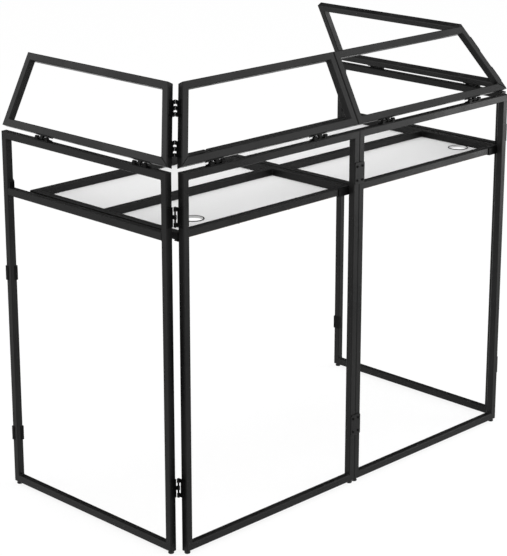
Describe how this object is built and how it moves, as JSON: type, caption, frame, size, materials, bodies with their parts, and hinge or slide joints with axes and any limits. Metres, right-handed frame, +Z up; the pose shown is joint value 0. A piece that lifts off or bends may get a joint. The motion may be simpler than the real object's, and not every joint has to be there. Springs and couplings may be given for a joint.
{
  "type": "dj booth",
  "caption": "Folding U-shaped booth frame of black square steel tube: hinged front and side panels, hinged leaning upper flaps and lift-off shelves with pale boards.",
  "frame": {"origin": "middle of the booth's outside box, on the floor under the feet", "axes": "+X along the front to the right as seen from the audience, +Y from the front into the booth, +Z up"},
  "size_m": [1.342, 0.6736, 1.2046],
  "materials": {
    "black_steel": "satin powder coat",
    "fittings": "satin black",
    "black_plastic": "matt",
    "board": "smooth pale grey laminate"
  },
  "bodies": {
    "front_frame": {"front_left_rails": "black_steel", "front_left_corner_post": "black_steel", "front_left_centre_post": "black_steel", "front_right_rails": "black_steel", "front_right_centre_post": "black_steel", "front_right_corner_post": "black_steel", "front_feet": "black_plastic", "centre_plates": "black_steel", "front_left_flap_hinge_bases": "fittings", "front_left_flap_hinge_pins": "fittings", "front_right_flap_hinge_bases": "fittings", "front_right_flap_hinge_pins": "fittings", "left_corner_hinge_forks": "fittings", "left_corner_hinge_pins": "fittings", "right_corner_hinge_forks": "fittings", "right_corner_hinge_pins": "fittings", "left_shelf_brackets": "fittings", "right_shelf_brackets": "fittings"},
    "left_wing": {"left_wing_rails": "black_steel", "left_wing_front_post": "black_steel", "left_wing_rear_post": "black_steel", "left_wing_feet": "black_plastic", "left_wing_flap_hinge_bases": "fittings", "left_wing_flap_hinge_pins": "fittings", "left_corner_hinge_tongues": "fittings", "left_wing_shelf_brackets": "fittings", "left_wing_rear_clips": "fittings"},
    "right_wing": {"right_wing_rails": "black_steel", "right_wing_front_post": "black_steel", "right_wing_rear_post": "black_steel", "right_wing_feet": "black_plastic", "right_wing_flap_hinge_bases": "fittings", "right_wing_flap_hinge_pins": "fittings", "right_corner_hinge_tongues": "fittings", "right_wing_shelf_brackets": "fittings", "right_wing_rear_clips": "fittings"},
    "front_left_flap": {"front_left_flap_rails": "black_steel", "front_left_flap_stiles": "black_steel", "front_left_flap_hinge_tongues": "fittings", "front_left_flap_catches": "fittings"},
    "front_right_flap": {"front_right_flap_rails": "black_steel", "front_right_flap_stiles": "black_steel", "front_right_flap_hinge_tongues": "fittings", "front_right_flap_catches": "fittings"},
    "left_wing_flap": {"left_wing_flap_rails": "black_steel", "left_wing_flap_stiles": "black_steel", "left_wing_flap_hinge_tongues": "fittings", "left_wing_flap_catches": "fittings"},
    "right_wing_flap": {"right_wing_flap_rails": "black_steel", "right_wing_flap_stiles": "black_steel", "right_wing_flap_hinge_tongues": "fittings", "right_wing_flap_catches": "fittings"},
    "left_shelf": {"left_shelf_side_tubes": "black_steel", "left_shelf_cross_tubes": "black_steel", "left_shelf_board": "board", "left_cable_ring": "black_plastic"},
    "right_shelf": {"right_shelf_side_tubes": "black_steel", "right_shelf_cross_tubes": "black_steel", "right_shelf_board": "board", "right_cable_ring": "black_plastic"}
  },
  "joints": [
    {"name": "left_wing_swing", "type": "hinge", "parent": "front_frame", "child": "left_wing", "pos_m": [-0.64475, -0.3095, 0], "axis": [0, 0, 1], "range_deg": [0, 90]},
    {"name": "right_wing_swing", "type": "hinge", "parent": "front_frame", "child": "right_wing", "pos_m": [0.64475, -0.3095, 0], "axis": [0, 0, -1], "range_deg": [0, 90]},
    {"name": "front_left_flap_fold", "type": "hinge", "parent": "front_frame", "child": "front_left_flap", "pos_m": [-0.32, -0.32925, 1.0155], "axis": [1, 0, 0], "range_deg": [0, 117.5]},
    {"name": "front_right_flap_fold", "type": "hinge", "parent": "front_frame", "child": "front_right_flap", "pos_m": [0.32, -0.32925, 1.0155], "axis": [1, 0, 0], "range_deg": [0, 117.5]},
    {"name": "left_wing_flap_fold", "type": "hinge", "parent": "left_wing", "child": "left_wing_flap", "pos_m": [-0.6645, 0.01525, 1.0155], "axis": [0, -1, 0], "range_deg": [0, 117.5]},
    {"name": "right_wing_flap_fold", "type": "hinge", "parent": "right_wing", "child": "right_wing_flap", "pos_m": [0.6645, 0.01525, 1.0155], "axis": [0, 1, 0], "range_deg": [0, 117.5]},
    {"name": "left_shelf_lift", "type": "slide", "parent": "front_frame", "child": "left_shelf", "axis": [0, 0, 1], "range_m": [0, 0.12]},
    {"name": "right_shelf_lift", "type": "slide", "parent": "front_frame", "child": "right_shelf", "axis": [0, 0, 1], "range_m": [0, 0.12]}
  ]
}
